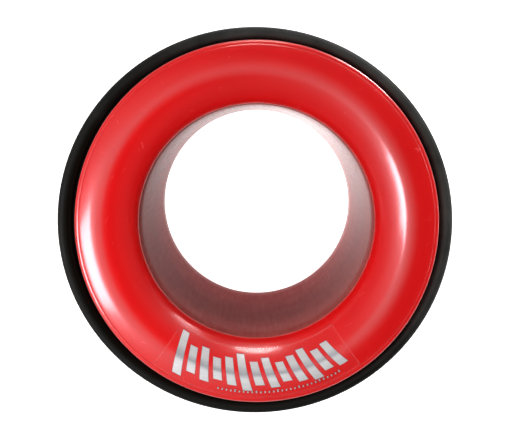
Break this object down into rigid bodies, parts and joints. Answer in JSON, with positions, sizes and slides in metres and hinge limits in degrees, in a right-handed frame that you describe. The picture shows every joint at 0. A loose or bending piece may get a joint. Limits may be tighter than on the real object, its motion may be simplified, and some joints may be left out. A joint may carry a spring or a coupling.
{
  "type": "bass drum sound-port insert",
  "caption": "Flared plastic port tube with a rubber damping ring and a barbed rubber collar, pushed into a round hole in a bass drum's front head.",
  "frame": {"origin": "on the port axis, in the plane of the rear rim that the insert stands on", "axes": "+Z along the port axis, out of the flared front; the label is on the -Y side"},
  "size_m": [0.192, 0.192, 0.125],
  "materials": {
    "flare_plastic": "glossy moulded red ABS",
    "tube_plastic": "satin red ABS with faint lengthwise marks",
    "ring_rubber": "matte black rubber",
    "collar_rubber": "matte black rubber",
    "label_film": "clear self-adhesive film",
    "label_foil": "brushed silver foil"
  },
  "bodies": {
    "root": {"bell_flare": "flare_plastic", "port_tube": "tube_plastic", "damping_ring": "ring_rubber", "head_collar": "collar_rubber", "label_film": "label_film", "foil_bar_01": "label_foil", "foil_bar_02": "label_foil", "foil_bar_03": "label_foil", "foil_bar_04": "label_foil", "foil_bar_05": "label_foil", "foil_bar_06": "label_foil", "foil_bar_07": "label_foil", "foil_bar_08": "label_foil", "foil_bar_09": "label_foil", "foil_bar_10": "label_foil", "foil_bar_11": "label_foil", "foil_bar_12": "label_foil", "foil_bar_13": "label_foil", "foil_line": "label_foil"}
  },
  "joints": []
}
